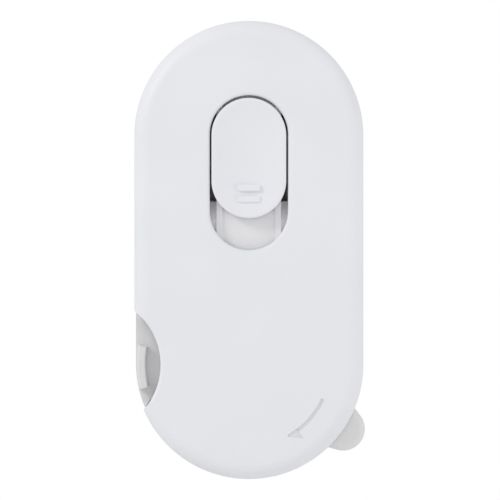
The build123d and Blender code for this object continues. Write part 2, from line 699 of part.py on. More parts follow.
# ---- Detent springs -----------------------------------------------------------
with BuildPart() as wheel_detent_spring:
    bump = leaf_line - hub_radius + 0.4
    with BuildSketch(wheel_level(6.3, detent_angle)):
        with BuildLine() as leaf_curve:
            Polyline(
                (leaf_line, -leaf_posts - 1.0),
                (leaf_line, -3.0),
                (leaf_line - bump, 0),
                (leaf_line, 3.0),
                (leaf_line, leaf_posts + 1.0),
            )
            offset(amount=spring_thick / 2)
        make_face()
    extrude(amount=2.8)
finish(wheel_detent_spring, "wheel_detent_spring")

with BuildPart() as slide_detent_spring:
    with BuildSketch(level(11.1)):
        with BuildLine():
            Polyline(
                (slide_leaf_x, 10.8),
                (slide_leaf_x, slide_detent_z - 3.0),
                (bar_half - 0.3, slide_detent_z),
                (slide_leaf_x, slide_detent_z + 3.0),
                (slide_leaf_x, 29.2),
            )
            offset(amount=spring_thick / 2)
        make_face()
    extrude(amount=2.2)
finish(slide_detent_spring, "slide_detent_spring")
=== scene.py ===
import json
import math

import bpy
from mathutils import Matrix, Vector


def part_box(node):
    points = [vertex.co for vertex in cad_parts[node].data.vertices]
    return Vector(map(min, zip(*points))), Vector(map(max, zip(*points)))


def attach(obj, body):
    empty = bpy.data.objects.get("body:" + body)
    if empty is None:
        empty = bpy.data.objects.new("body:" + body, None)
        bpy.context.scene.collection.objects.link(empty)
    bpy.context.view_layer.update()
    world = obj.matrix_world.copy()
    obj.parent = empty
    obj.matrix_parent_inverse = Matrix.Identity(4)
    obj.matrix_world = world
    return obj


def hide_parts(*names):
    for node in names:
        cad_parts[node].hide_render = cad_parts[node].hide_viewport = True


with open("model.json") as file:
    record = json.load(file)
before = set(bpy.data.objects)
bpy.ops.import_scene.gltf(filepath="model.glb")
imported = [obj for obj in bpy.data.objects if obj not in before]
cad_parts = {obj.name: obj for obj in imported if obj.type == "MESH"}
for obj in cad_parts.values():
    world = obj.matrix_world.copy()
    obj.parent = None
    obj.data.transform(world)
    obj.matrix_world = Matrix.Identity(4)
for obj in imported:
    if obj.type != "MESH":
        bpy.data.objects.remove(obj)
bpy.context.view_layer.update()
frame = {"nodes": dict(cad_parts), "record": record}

# Stair gate latch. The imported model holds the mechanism; this script models the
# mouldings that a hand or an eye meets, and gives every part its finish.
# Lengths are in metres and angles in degrees. A depth is a distance in front of the
# wall, towards -Y. Angles about the wheel's axis run from +X towards +Z.
MM = 0.001


def node_range(node, axis):
    """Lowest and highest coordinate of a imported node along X, Y or Z."""
    low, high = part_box(node)
    return low["XYZ".index(axis)], high["XYZ".index(axis)]


# ---- Sizes, some from the imported model and the rest given ---------------------
cover_x = node_range("front_cover", "X")
cover_y = node_range("front_cover", "Y")
cover_z = node_range("front_cover", "Z")
case_width = cover_x[1] - cover_x[0]
case_height = cover_z[1] - cover_z[0]
case_front = -cover_y[0]
part_line = -cover_y[1]
case_radius = case_width / 2
wall = 2.2 * MM
front_inside = case_front - wall
axis_z = -(case_height / 2 - case_radius)
axis = (0.0, 0.0, axis_z)

button_x = node_range("slide_button", "X")
button_z = node_range("slide_button", "Z")
button_width = button_x[1] - button_x[0]
button_height = button_z[1] - button_z[0]
button_mid_z = (button_z[0] + button_z[1]) / 2
button_front = -node_range("slide_button", "Y")[0]
button_back = button_front - 3.05 * MM

slot_width, slot_height = 20.4 * MM, 40.4 * MM
slot_mid_z = slot_height / 2
notch_radius = 17.8 * MM
notch_x = -(case_radius + notch_radius - 6.95 * MM)
wheel_back, wheel_front = 10.8 * MM, 14.0 * MM
wheel_radius, hub_radius, bush_radius = 27.4 * MM, 8.0 * MM, 5.5 * MM
rim_x, rim_trim = case_radius - 0.35 * MM, notch_radius - 0.22 * MM
rim_corner = math.sqrt(rim_x**2 + rim_trim**2 - (-notch_x - rim_x) ** 2)
rib_radii, rib_angles = (27.1 * MM, 29.45 * MM), (170.2, 193.4)
lock_notch_angles, lock_notch_radii, lock_notch_half = (90, 126), (19.2 * MM, 34 * MM), 3 * MM
screw_ring_radius, screw_ring_angles = 8.75 * MM, (20, 160)
tab_front, grip_front, hub_front = 16.0 * MM, 16.2 * MM, 16.6 * MM
hair = 0.01 * MM  # rim and tab stop this far inside the wheel's faces, so none share a plane
tab_back = wheel_back + hair
tab_angle, tab_reach, tab_radius = -34.6, 30.15 * MM, 5.75 * MM


# ---- Modelling helpers --------------------------------------------------------
def deselect():
    if bpy.context.object and bpy.context.object.mode != "OBJECT":
        bpy.ops.object.mode_set(mode="OBJECT")
    bpy.ops.object.select_all(action="DESELECT")


def work_on(piece):
    deselect()
    piece.select_set(True)
    bpy.context.view_layer.objects.active = piece


def settle(piece):
    """Puts the object at the origin, unturned and unscaled, with its place in its mesh."""
    work_on(piece)
    bpy.ops.object.transform_apply(location=True, rotation=True, scale=True)
    return piece


def named(name):
    piece = bpy.context.object
    piece.name = name
    piece.data.name = name
    return settle(piece)


def polar(radius, angle):
    """x and z of a point about the wheel's axis."""
    turn = math.radians(angle)
    return radius * math.cos(turn), axis_z + radius * math.sin(turn)


def pick(piece, kind, test):
    """Opens the piece for editing with only the faces or edges selected that pass the test.
    A face is tested by its middle and normal, and an edge by its two ends."""
    work_on(piece)
    bpy.ops.object.mode_set(mode="EDIT")
    bpy.ops.mesh.select_mode(type=kind)
    bpy.ops.mesh.select_all(action="DESELECT")
    bpy.ops.object.mode_set(mode="OBJECT")
    mesh = piece.data
    if kind == "FACE":
        for face in mesh.polygons:
            face.select = test(face.center, face.normal)
    else:
        for edge in mesh.edges:
            ends = [mesh.vertices[i].co for i in edge.vertices]
            edge.select = test(*ends)
    bpy.ops.object.mode_set(mode="EDIT")


def close_edit():
    bpy.ops.object.mode_set(mode="OBJECT")


def pick_all(piece):
    pick(piece, "FACE", lambda middle, normal: True)


def box(name, x_range, z_range, depths):
    deselect()
    bpy.ops.mesh.primitive_cube_add(
        size=1,
        location=(sum(x_range) / 2, -sum(depths) / 2, sum(z_range) / 2),
        scale=(x_range[1] - x_range[0], depths[1] - depths[0], z_range[1] - z_range[0]),
    )
    return named(name)


def disc(name, spot, radius, depths, sides=96):
    """Round block or cutter standing off the wall."""
    deselect()
    bpy.ops.mesh.primitive_cylinder_add(
        vertices=sides,
        radius=radius,
        depth=depths[1] - depths[0],
        location=(spot[0], -sum(depths) / 2, spot[1]),
        rotation=(math.pi / 2, 0, 0),
    )
    return named(name)


def stadium(name, width, height, depths, mid_z=0.0, steps=32):
    """Upright block with round ends: a box whose long edges are bevelled until they meet."""
    half = width / 2
    block = box(name, (-half, half), (mid_z - height / 2, mid_z + height / 2), depths)
    pick(block, "EDGE", lambda a, b: abs(a.y - b.y) > 1e-6)
    bpy.ops.mesh.bevel(offset=half, segments=steps, profile=0.5, clamp_overlap=False)
    bpy.ops.mesh.select_all(action="SELECT")
    bpy.ops.mesh.remove_doubles(threshold=1e-6)
    bpy.ops.mesh.dissolve_degenerate(threshold=1e-6)
    close_edit()
    return block


def turned(piece, angle):
    """Takes a piece made along +X from the origin to an angle about the wheel's axis."""
    piece.rotation_euler = (0, -math.radians(angle), 0)
    piece.location = axis
    return settle(piece)


def discs(name, spots, radius, depths, sides=48):
    """The same round block at several spots."""
    return joined(name, [disc(name, spot, radius, depths, sides) for spot in spots])


def swept(name, radii, angles, depths, steps):
    """Block with a rectangular section, spun about the wheel's axis between two angles."""
    start = angles[0]
    x, z = polar(sum(radii) / 2, start)
    deselect()
    bpy.ops.mesh.primitive_plane_add(
        size=1, location=(x, -sum(depths) / 2, z), rotation=(0, -math.radians(start), 0)
    )
    bpy.context.object.scale = (radii[1] - radii[0], depths[1] - depths[0], 1)
    strip = named(name)
    pick_all(strip)
    bpy.ops.mesh.spin(
        steps=steps,
        angle=math.radians(angles[1] - start),
        center=axis,
        axis=(0, 1, 0),
    )
    bpy.ops.mesh.select_all(action="SELECT")
    bpy.ops.mesh.remove_doubles(threshold=1e-7)
    bpy.ops.mesh.select_all(action="DESELECT")
    bpy.ops.mesh.select_mode(type="EDGE")
    bpy.ops.mesh.select_non_manifold()
    bpy.ops.mesh.edge_face_add()
    bpy.ops.mesh.select_all(action="SELECT")
    bpy.ops.mesh.normals_make_consistent(inside=False)
    bpy.ops.mesh.dissolve_limited(angle_limit=math.radians(0.4))
    close_edit()
    return strip


def clean(piece):
    """Merges the points that a cut leaves too close together."""
    pick_all(piece)
    bpy.ops.mesh.remove_doubles(threshold=0.02 * MM)
    bpy.ops.mesh.dissolve_degenerate(threshold=0.005 * MM)
    close_edit()
    return piece


def combine(piece, other, how="DIFFERENCE"):
    """Cuts, joins or trims a piece with another, which is used up."""
    work_on(piece)
    cut = piece.modifiers.new("combine", "BOOLEAN")
    cut.operation = how
    cut.solver = "EXACT"
    cut.object = other
    bpy.ops.object.modifier_apply(modifier=cut.name)
    bpy.data.objects.remove(other)
    return piece


def joined(name, pieces):
    deselect()
    for piece in pieces:
        piece.select_set(True)
    bpy.context.view_layer.objects.active = pieces[0]
    bpy.ops.object.join()
    return named(name)


def round_edges(piece, widths, segments):
    """Rounds edges with one bevel. widths gives an edge's radius from its two ends, or 0."""
    work_on(piece)
    mesh = piece.data
    weight = mesh.attributes.new("bevel_weight_edge", "FLOAT", "EDGE")
    sizes = []
    for edge in mesh.edges:
        ends = [mesh.vertices[i].co for i in edge.vertices]
        sizes.append(widths(*ends))
    widest = max(sizes)
    for index, size in enumerate(sizes):
        weight.data[index].value = size / widest
    bevel = piece.modifiers.new("rounding", "BEVEL")
    bevel.width = widest
    bevel.segments = segments
    bevel.limit_method = "WEIGHT"
    bevel.use_clamp_overlap = False
    bpy.ops.object.modifier_apply(modifier=bevel.name)
    mesh.attributes.remove(mesh.attributes["bevel_weight_edge"])


def smooth(piece, angle=40):
    """Smooth shading that keeps flat faces flat."""
    work_on(piece)
    bpy.ops.object.shade_smooth_by_angle(angle=math.radians(angle))
    flat = piece.modifiers.new("flat_faces", "WEIGHTED_NORMAL")
    flat.keep_sharp = True
    flat.weight = 80
    bpy.ops.object.modifier_apply(modifier=flat.name)
    return piece


def on_stadium(a, b, width, height, mid_z=0.0, slack=0.03 * MM):
    """Whether both ends of an edge lie on an upright stadium's outline."""
    for end in (a, b):
        over = max(abs(end.z - mid_z) - (height - width) / 2, 0)
        if abs(math.hypot(end.x, over) - width / 2) > slack:
            return False
    return True


def at_depth(a, b, depth, slack=0.01 * MM):
    """Whether both ends of an edge are at one distance from the wall."""
    return abs(a.y + depth) < slack and abs(b.y + depth) < slack


def round_at(piece, width, segments, *depths):
    """Rounds the edges that lie at the given depths."""

    def widths(a, b):
        return width if any(at_depth(a, b, depth) for depth in depths) else 0.0

    round_edges(piece, widths, segments)


# ---- Front cover --------------------------------------------------------------
arrow_radius, arrow_half, arrow_deep = 21.3 * MM, 0.5 * MM, 0.3 * MM
arrow_start, arrow_neck, arrow_tip = -24.7, -53.0, -61.3
screw_bosses = [(side * x * MM, z * MM) for x, z in ((18, 44), (21.5, 4.5)) for side in (-1, 1)]
boss_radius, pivot_boss_radius, pivot_boss_back = 3.5 * MM, 5.5 * MM, 17.2 * MM
case_pilot, pivot_pilot, bridge_pilot = 1.5 * MM, 1.65 * MM, 1.1 * MM
bridge_screws = [(x * MM, z * MM) for x in (-5.5, 5.5) for z in (-5, 46)]
notch_spot = (notch_x, axis_z)
notch_wall_back, seat_back = 16.6 * MM, 22.1 * MM
front_rounding, slot_rounding, notch_rounding = 4.2 * MM, 0.9 * MM, 1.0 * MM
window_radii, window_angles = (24.8 * MM, 33 * MM), (-17, -88)
fine = 160  # sides of the largest arcs, which are seen
past = 1 * MM  # how far a cutter stands past the face it starts from


def arrow_cutter():
    """Curved shaft with a one-sided head, as a block that sinks into the front."""
    depths = (case_front - arrow_deep, case_front + past)
    radii = (arrow_radius - arrow_half, arrow_radius + arrow_half)
    shaft = swept("arrow_shaft", radii, (arrow_start, arrow_neck), depths, 24)
    # a block whose four corners are moved to the head's outline
    head = box("arrow_head", (-1 * MM, 1 * MM), (-1 * MM, 1 * MM), depths)
    corners = {
        (-1, 1): polar(radii[0], arrow_neck),
        (1, 1): polar(arrow_radius + 2.6 * MM, arrow_neck - 0.4),
        (-1, -1): polar(radii[0] + 0.1 * MM, arrow_tip),
        (1, -1): polar(arrow_radius + 0.1 * MM, arrow_tip),
    }
    for point in head.data.vertices:
        side = (1 if point.co.x > 0 else -1, 1 if point.co.z > 0 else -1)
        point.co.x, point.co.z = corners[side]
    settle(head)
    return combine(shaft, head, "UNION")


def flared_cutter(name, spot, radius, width, steps=8):
    """Round cutter whose mouth opens out, so that it leaves a rounded edge on the front."""
    cutter = disc(name, spot, radius, (0, case_front + 0.02 * MM - width), fine)
    pick(cutter, "FACE", lambda middle, normal: normal.y < -0.9)
    mouth = (spot[0], 0, spot[1])
    reached, risen = radius, 0.0
    for step in range(1, steps + 1):
        turn = math.pi / 2 * step / steps
        wide, rise = radius + width * (1 - math.cos(turn)), width * math.sin(turn)
        bpy.ops.mesh.extrude_region_move(TRANSFORM_OT_translate={"value": (0, risen - rise, 0)})
        bpy.ops.transform.resize(value=(wide / reached, 1, wide / reached), center_override=mouth)
        reached, risen = wide, rise
    bpy.ops.mesh.extrude_region_move(TRANSFORM_OT_translate={"value": (0, -3 * MM, 0)})
    close_edit()
    return cutter


def make_cover():
    cut_back = part_line - past
    cover = stadium("cover", case_width, case_height, (part_line, case_front), steps=40)
    round_at(cover, front_rounding, 10, case_front)
    # the hollow leaves a wall round the thumb notch in front of the wheel
    inner = (case_width - 2 * wall, case_height - 2 * wall)
    combine(cover, stadium("hollow", *inner, (cut_back, notch_wall_back), steps=40))
    high = stadium("hollow", *inner, (notch_wall_back - 0.01 * MM, front_inside), steps=40)
    combine(high, disc("keep", notch_spot, notch_radius + 2 * MM, (10 * MM, 30 * MM), fine))
    combine(cover, high)

    # seat for the slot's floor, and the bosses
    inside = front_inside + 0.3 * MM
    seat_depths = (seat_back, inside)
    seat = stadium(
        "seat", slot_width + 5 * MM, slot_height + 5 * MM, seat_depths, slot_mid_z, 24
    )
    ears = box("seat", (-8.5 * MM, 8.5 * MM), (-8 * MM, 49 * MM), seat_depths)
    combine(seat, ears, "UNION")
    combine(cover, seat, "UNION")
    combine(cover, discs("bosses", screw_bosses, boss_radius, (part_line, inside)), "UNION")
    pivot_boss = disc("boss", (0, axis_z), pivot_boss_radius, (pivot_boss_back, inside), 64)
    combine(cover, pivot_boss, "UNION")

    combine(cover, flared_cutter("notch", notch_spot, notch_radius, notch_rounding))
    combine(cover, stadium("slot", slot_width, slot_height, (15 * MM, 30 * MM), slot_mid_z, 24))
    # window in the side wall, for the finger tab
    window_depths = (cut_back, tab_front + 0.5 * MM)
    combine(cover, swept("window", window_radii, window_angles, window_depths, 36))

    # way for the corner of the wheel's rim, above the thumb notch
    corner_depths = (cut_back, wheel_front + 0.3 * MM)
    way = disc("way", (0, axis_z), rim_corner + 0.4 * MM, corner_depths, 192)
    way_low = axis_z + 12 * MM
    near_wall = box(
        "way", (-31.5 * MM, -26.5 * MM), (way_low, axis_z + 20 * MM), corner_depths
    )
    combine(cover, combine(way, near_wall, "INTERSECT"))
    through_wall = (-case_radius - past, wall - case_radius + 0.5 * MM)
    combine(cover, box("way", through_wall, (way_low, axis_z + 15.2 * MM), corner_depths))

    combine(cover, discs("pilots", screw_bosses, case_pilot, (cut_back, 20 * MM), 32))
    combine(cover, disc("pilot", (0, axis_z), pivot_pilot, (16 * MM, 22.5 * MM), 32))
    combine(cover, discs("pilots", bridge_screws, bridge_pilot, (21 * MM, 23.9 * MM), 32))

    def widths(a, b):
        on_slot = on_stadium(a, b, slot_width, slot_height, slot_mid_z)
        return slot_rounding if on_slot and at_depth(a, b, case_front) else 0.0

    round_edges(clean(cover), widths, 8)
    combine(cover, arrow_cutter())
    return smooth(cover)


cover = make_cover()
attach(cover, "casing")
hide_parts("front_cover")


# ---- Slide button -------------------------------------------------------------
leg_z, leg_half, shoulder = 23.85 * MM, 1.9 * MM, 1.0 * MM
leg_x, hook_x = (8.75 * MM, 9.65 * MM), (8.15 * MM, 9.65 * MM)
hook_deep, hook_rounding = 0.65 * MM, 0.35 * MM
button_rounding, button_rim, dish_deep, dish_rings = 0.35 * MM, 0.9 * MM, 1.3 * MM, 12
button_ribs, button_rib_x, button_rib_half = (13.25 * MM, 16.2 * MM), 2.95 * MM, 0.85 * MM
rib_low, rib_rounding = 0.25 * MM, 0.3 * MM


def hooked_leg(side):
    """Leg that passes through the lock bar, with a shoulder in front of it and a hook behind."""
    bar_front = -node_range("lock_bar", "Y")[0]
    leg_back = -node_range("slide_button", "Y")[1]
    heel = (leg_z - leg_half, leg_z + leg_half)
    across = sorted(side * x for x in leg_x)
    leg = box(
        "leg",
        across,
        (heel[0] - shoulder, heel[1] + shoulder),
        (bar_front + 0.05 * MM, button_back + 0.2 * MM),
    )
    # the shank is a little narrower than the hook, so that no two faces share a plane
    inset = 0.02 * MM
    shank_across = sorted((side * leg_x[0], side * (leg_x[1] - inset)))
    shank_z = (heel[0] + inset, heel[1] - inset)
    shank = box("leg", shank_across, shank_z, (leg_back + inset, bar_front + 0.2 * MM))
    hook_across = sorted(side * x for x in hook_x)
    hook = box("leg", hook_across, heel, (leg_back, leg_back + hook_deep))

    def widths(a, b):
        inner = max(abs(a.x), abs(b.x)) < hook_x[0] + 0.05 * MM
        return hook_rounding if inner and at_depth(a, b, leg_back) else 0.0

    round_edges(hook, widths, 3)
    combine(shank, hook, "UNION")
    return smooth(combine(leg, shank, "UNION"))


def make_button():
    depths = (button_back, button_front)
    button = stadium("button", button_width, button_height, depths, button_mid_z, 24)
    round_at(button, button_rounding, 4, button_front, button_back)
    # a flat rim, then rings that each sink a little further to make the dish
    dish_radius = button_width / 2 - button_rim
    front = -button_front + 0.01 * MM
    pick(button, "FACE", lambda middle, normal: normal.y < -0.99 and middle.y < front)
    bpy.ops.mesh.inset(thickness=button_rim - button_rounding, depth=0)
    reached = 0.0
    for ring in range(1, dish_rings + 1):
        edge = (dish_radius - 0.25 * MM) * (ring / dish_rings) ** 1.2
        before, after = [
            dish_deep * (1 - (1 - along / dish_radius) ** 2) for along in (reached, edge)
        ]
        bpy.ops.mesh.inset(thickness=edge - reached, depth=before - after)
        reached = edge
    close_edit()
    parts = [smooth(button, 30)]

    def widths(a, b):
        return rib_rounding if min(a.y, b.y) < -button_front + 0.3 * MM else 0.0

    for rib_z in button_ribs:
        rib = box(
            "rib",
            (-button_rib_x, button_rib_x),
            (rib_z - button_rib_half, rib_z + button_rib_half),
            (button_back + 0.5 * MM, button_front - rib_low),
        )
        round_edges(rib, widths, 3)
        parts.append(smooth(rib))
    for side in (-1, 1):
        parts.append(hooked_leg(side))
    return joined("button", parts)


button = make_button()
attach(button, "slide")
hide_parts("slide_button")


# ---- Turn wheel ---------------------------------------------------------------
root_x, root_half = (22 * MM, 25 * MM), 7.8 * MM
tab_rounding, tab_back_rounding = 1.7 * MM, 0.5 * MM


def make_tab():
    """Finger tab: a round end drawn out to a wider root, made along +X and then turned."""
    end = disc("tab", (tab_reach, 0), tab_radius, (tab_back, tab_front), 96)
    root = box("root", root_x, (-root_half, root_half), (tab_back, tab_front))
    tab = joined("tab", [end, root])
    pick_all(tab)
    bpy.ops.mesh.convex_hull(join_triangles=True)
    bpy.ops.mesh.select_all(action="SELECT")
    bpy.ops.mesh.dissolve_limited(angle_limit=math.radians(1))
    close_edit()

    def widths(a, b):
        if at_depth(a, b, tab_front):
            return tab_rounding
        return tab_back_rounding if at_depth(a, b, tab_back) else 0.0

    round_edges(tab, widths, 8)
    return turned(tab, tab_angle)


def make_wheel():
    depths = (wheel_back, wheel_front)
    wheel = disc("wheel", (0, axis_z), wheel_radius, depths, 192)
    rim_height = case_height - (case_width - 2 * rim_x)
    rim_depths = (wheel_back + hair, wheel_front - hair)
    rim = stadium("rim", 2 * rim_x, rim_height, rim_depths, steps=40)
    combine(rim, disc("trim", notch_spot, rim_trim, (0, 30 * MM), fine), "INTERSECT")
    combine(wheel, rim, "UNION")
    # notches that the lock bar drops into, one for each end of the turn
    for angle in lock_notch_angles:
        cut = box("cut", lock_notch_radii, (-lock_notch_half, lock_notch_half), (0, 20 * MM))
        combine(wheel, turned(cut, angle))
    combine(wheel, make_tab(), "UNION")
    rib = swept("rib", rib_radii, rib_angles, (wheel_front - 0.8 * MM, grip_front), 16)
    round_at(rib, 0.6 * MM, 5, grip_front)
    combine(wheel, rib, "UNION")
    hub = disc("hub", (0, axis_z), hub_radius, (wheel_front - 0.5 * MM, hub_front), 96)
    round_at(hub, 0.4 * MM, 4, hub_front)
    combine(wheel, hub, "UNION")
    combine(wheel, disc("bore", (0, axis_z), bush_radius, (5 * MM, 20 * MM), 96))
    spots = [polar(screw_ring_radius, angle) for angle in screw_ring_angles]
    combine(wheel, discs("screw_holes", spots, 1.1 * MM, (5 * MM, 13.5 * MM), 32))
    return smooth(wheel)


wheel = make_wheel()
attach(wheel, "wheel")
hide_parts("turn_wheel")


# ---- Finishes -----------------------------------------------------------------
def new_group(name, inputs, outputs):
    """An empty shader group with named inputs, each with its usual value, and named outputs."""
    tree = bpy.data.node_groups.new(name, "ShaderNodeTree")
    for label, value in inputs.items():
        socket = tree.interface.new_socket(
            name=label, in_out="INPUT", socket_type="NodeSocketFloat"
        )
        socket.default_value = value
    for label in outputs:
        tree.interface.new_socket(name=label, in_out="OUTPUT", socket_type="NodeSocketFloat")
    return tree, tree.nodes.new("NodeGroupInput").outputs, tree.nodes.new("NodeGroupOutput").inputs


def object_noise(tree, scale, detail, stretch=(1, 1, 1)):
    """Noise that is fixed to the piece. The scale is a number or a socket, in lumps per metre."""
    place = tree.nodes.new("ShaderNodeTexCoord")
    mapping = tree.nodes.new("ShaderNodeMapping")
    mapping.inputs["Scale"].default_value = stretch
    noise = tree.nodes.new("ShaderNodeTexNoise")
    noise.inputs["Detail"].default_value = detail
    tree.links.new(place.outputs["Object"], mapping.inputs["Vector"])
    tree.links.new(mapping.outputs["Vector"], noise.inputs["Vector"])
    if isinstance(scale, (int, float)):
        noise.inputs["Scale"].default_value = scale
    else:
        tree.links.new(scale, noise.inputs["Scale"])
    return noise.outputs["Fac"]


def spread(tree, value, source, target):
    """Stretches a value from one range to another and holds it there."""
    node = tree.nodes.new("ShaderNodeMapRange")
    for label, number in zip(("From Min", "From Max", "To Min", "To Max"), (*source, *target)):
        if isinstance(number, (int, float)):
            node.inputs[label].default_value = number
        else:
            tree.links.new(number, node.inputs[label])
    tree.links.new(value, node.inputs["Value"])
    return node.outputs["Result"]


def worked(tree, operation, first, second):
    """One arithmetic step between two sockets or numbers."""
    node = tree.nodes.new("ShaderNodeMath")
    node.operation = operation
    for place, value in enumerate((first, second)):
        if isinstance(value, (int, float)):
            node.inputs[place].default_value = value
        else:
            tree.links.new(value, node.inputs[place])
    return node.outputs["Value"]


def blended(tree, mask, first, second):
    """A colour between two, which are sockets or (r, g, b)."""
    node = tree.nodes.new("ShaderNodeMix")
    node.data_type = "RGBA"
    tree.links.new(mask, node.inputs["Factor"])
    for label, value in (("A", first), ("B", second)):
        socket = [s for s in node.inputs if s.name == label and s.type == "RGBA"][0]
        if isinstance(value, tuple):
            socket.default_value = (*value, 1)
        else:
            tree.links.new(value, socket)
    return [s for s in node.outputs if s.type == "RGBA"][0]


def make_grain_group():
    """Spark-eroded mould texture: fine even pits, and slow drifts in shade."""
    usual = {"Grain scale": 3500, "Drift scale": 45}
    tree, given, out = new_group("moulded_grain", usual, ("Pits", "Drift"))
    pits = object_noise(tree, given["Grain scale"], 3)
    tree.links.new(spread(tree, pits, (0.3, 0.7), (0, 1)), out["Pits"])
    drift = object_noise(tree, given["Drift scale"], 5)
    tree.links.new(spread(tree, drift, (0.35, 0.65), (0, 1)), out["Drift"])
    return tree


def make_edge_group():
    """Where a hand rubs: edges and corners, broken up by a little noise."""
    tree, given, out = new_group("rubbed_edges", {"Width": 0.0006, "Breakup": 0.5}, ("Rub",))
    bevel = tree.nodes.new("ShaderNodeBevel")
    bevel.samples = 6
    tree.links.new(given["Width"], bevel.inputs["Radius"])
    surface = tree.nodes.new("ShaderNodeNewGeometry")
    turn = tree.nodes.new("ShaderNodeVectorMath")
    turn.operation = "DOT_PRODUCT"
    tree.links.new(bevel.outputs["Normal"], turn.inputs[0])
    tree.links.new(surface.outputs["Normal"], turn.inputs[1])
    edge = spread(tree, turn.outputs["Value"], (0.995, 0.85), (0, 1))
    patchy = spread(tree, object_noise(tree, 260, 6), (0.35, 0.62), (0, 1))
    kept = worked(tree, "SUBTRACT", 1.0, given["Breakup"])
    cover_up = worked(tree, "ADD", kept, worked(tree, "MULTIPLY", patchy, given["Breakup"]))
    tree.links.new(worked(tree, "MULTIPLY", edge, cover_up), out["Rub"])
    return tree


def make_scuff_group():
    """Short hairline scuffs, from noise drawn out in two directions."""
    tree, given, out = new_group("hairlines", {"Scale": 90}, ("Scuffs",))
    lines = [
        spread(tree, object_noise(tree, given["Scale"], 4, stretch), (0.62, 0.72), (0, 1))
        for stretch in ((1, 1, 30), (22, 1, 1.5))
    ]
    tree.links.new(worked(tree, "MAXIMUM", *lines), out["Scuffs"])
    return tree


def make_turning_group():
    """Tool marks: noise drawn out along one direction, crossed with fine speckle."""
    tree, given, out = new_group("tool_marks", {"Scale": 700}, ("Marks", "Speckle"))
    marks = object_noise(tree, given["Scale"], 6, (0.08, 1, 1.6))
    tree.links.new(spread(tree, marks, (0.3, 0.7), (0, 1)), out["Marks"])
    speckle = object_noise(tree, worked(tree, "MULTIPLY", given["Scale"], 3.1), 4)
    tree.links.new(spread(tree, speckle, (0.4, 0.7), (0, 1)), out["Speckle"])
    return tree


def make_foam_group():
    """Open foam: small cells, with uneven walls."""
    tree, given, out = new_group("foam_cells", {"Cell scale": 1600}, ("Cells",))
    place = tree.nodes.new("ShaderNodeTexCoord")
    cells = tree.nodes.new("ShaderNodeTexVoronoi")
    tree.links.new(place.outputs["Object"], cells.inputs["Vector"])
    tree.links.new(given["Cell scale"], cells.inputs["Scale"])
    tree.links.new(spread(tree, cells.outputs["Distance"], (0.1, 0.7), (0, 1)), out["Cells"])
    return tree


grain_group = make_grain_group()
edge_group = make_edge_group()
scuff_group = make_scuff_group()
turning_group = make_turning_group()
foam_group = make_foam_group()


def placed(tree, group, **values):
    """A group node in a material, with this material's own values."""
    node = tree.nodes.new("ShaderNodeGroup")
    node.node_tree = group
    for label, value in values.items():
        node.inputs[label.replace("_", " ")].default_value = value
    return node.outputs


bump_strength = 0.35


def blank(name):
    """A new material, its node tree and its one shader."""
    material = bpy.data.materials.new(name)
    material.use_nodes = True
    return material, material.node_tree, material.node_tree.nodes["Principled BSDF"]


def raise_surface(tree, shader, height, distance):
    """Bump over the whole surface, from a height that runs from 0 to 1."""
    bump = tree.nodes.new("ShaderNodeBump")
    bump.inputs["Strength"].default_value = bump_strength
    bump.inputs["Distance"].default_value = distance
    tree.links.new(height, bump.inputs["Height"])
    tree.links.new(bump.outputs["Normal"], shader.inputs["Normal"])


def moulded(
    name, pale, deep, rubbed, rough, grain_scale=3500.0, pit_depth=0.02 * MM, edge_width=0.6 * MM
):
    """Moulded plastic: shade drifts from pale to deep, and edges are rubbed smoother."""
    material, tree, shader = blank(name)
    grain = placed(tree, grain_group, Grain_scale=grain_scale, Drift_scale=45.0)
    rub = placed(tree, edge_group, Width=edge_width, Breakup=0.5)["Rub"]
    scuffs = placed(tree, scuff_group, Scale=90.0)["Scuffs"]
    colour = blended(tree, grain["Drift"], deep, pale)
    colour = blended(tree, worked(tree, "MULTIPLY", rub, 0.5), colour, rubbed)
    tree.links.new(colour, shader.inputs["Base Color"])
    base = spread(tree, grain["Drift"], (0, 1), (rough - 0.04, rough + 0.05))
    scuffed = worked(tree, "ADD", base, worked(tree, "MULTIPLY", scuffs, 0.06))
    polished = worked(tree, "SUBTRACT", scuffed, worked(tree, "MULTIPLY", rub, 0.12))
    tree.links.new(polished, shader.inputs["Roughness"])
    raise_surface(tree, shader, grain["Pits"], pit_depth)
    shader.inputs["IOR"].default_value = 1.46
    return material


def metal(name, bright, dull, worn, rough, mark_scale):
    """Turned, rolled or plated metal: drawn-out tool marks, dull patches and bright edges."""
    material, tree, shader = blank(name)
    shader.inputs["Metallic"].default_value = 1.0
    marks = placed(tree, turning_group, Scale=mark_scale)
    drift = placed(tree, grain_group, Grain_scale=2500.0, Drift_scale=110.0)["Drift"]
    rub = placed(tree, edge_group, Width=0.3 * MM, Breakup=0.4)["Rub"]
    colour = blended(tree, worked(tree, "MULTIPLY", drift, marks["Speckle"]), bright, dull)
    tree.links.new(blended(tree, rub, colour, worn), shader.inputs["Base Color"])
    base = spread(tree, marks["Marks"], (0, 1), (rough - 0.08, rough + 0.1))
    polished = worked(tree, "SUBTRACT", base, worked(tree, "MULTIPLY", rub, 0.1))
    tree.links.new(polished, shader.inputs["Roughness"])
    raise_surface(tree, shader, marks["Marks"], 0.015 * MM)
    return material


def foam(name, face, painted_pore_shade):
    """Matt open foam, with painted shade in its pores: they are coloured darker than the cell
    walls.
    """
    material, tree, shader = blank(name)
    cells = placed(tree, foam_group, Cell_scale=1600.0)["Cells"]
    drift = placed(tree, grain_group, Grain_scale=2500.0, Drift_scale=80.0)["Drift"]
    tree.links.new(blended(tree, cells, painted_pore_shade, face), shader.inputs["Base Color"])
    tree.links.new(spread(tree, drift, (0, 1), (0.82, 0.96)), shader.inputs["Roughness"])
    raise_surface(tree, shader, cells, 0.25 * MM)
    return material


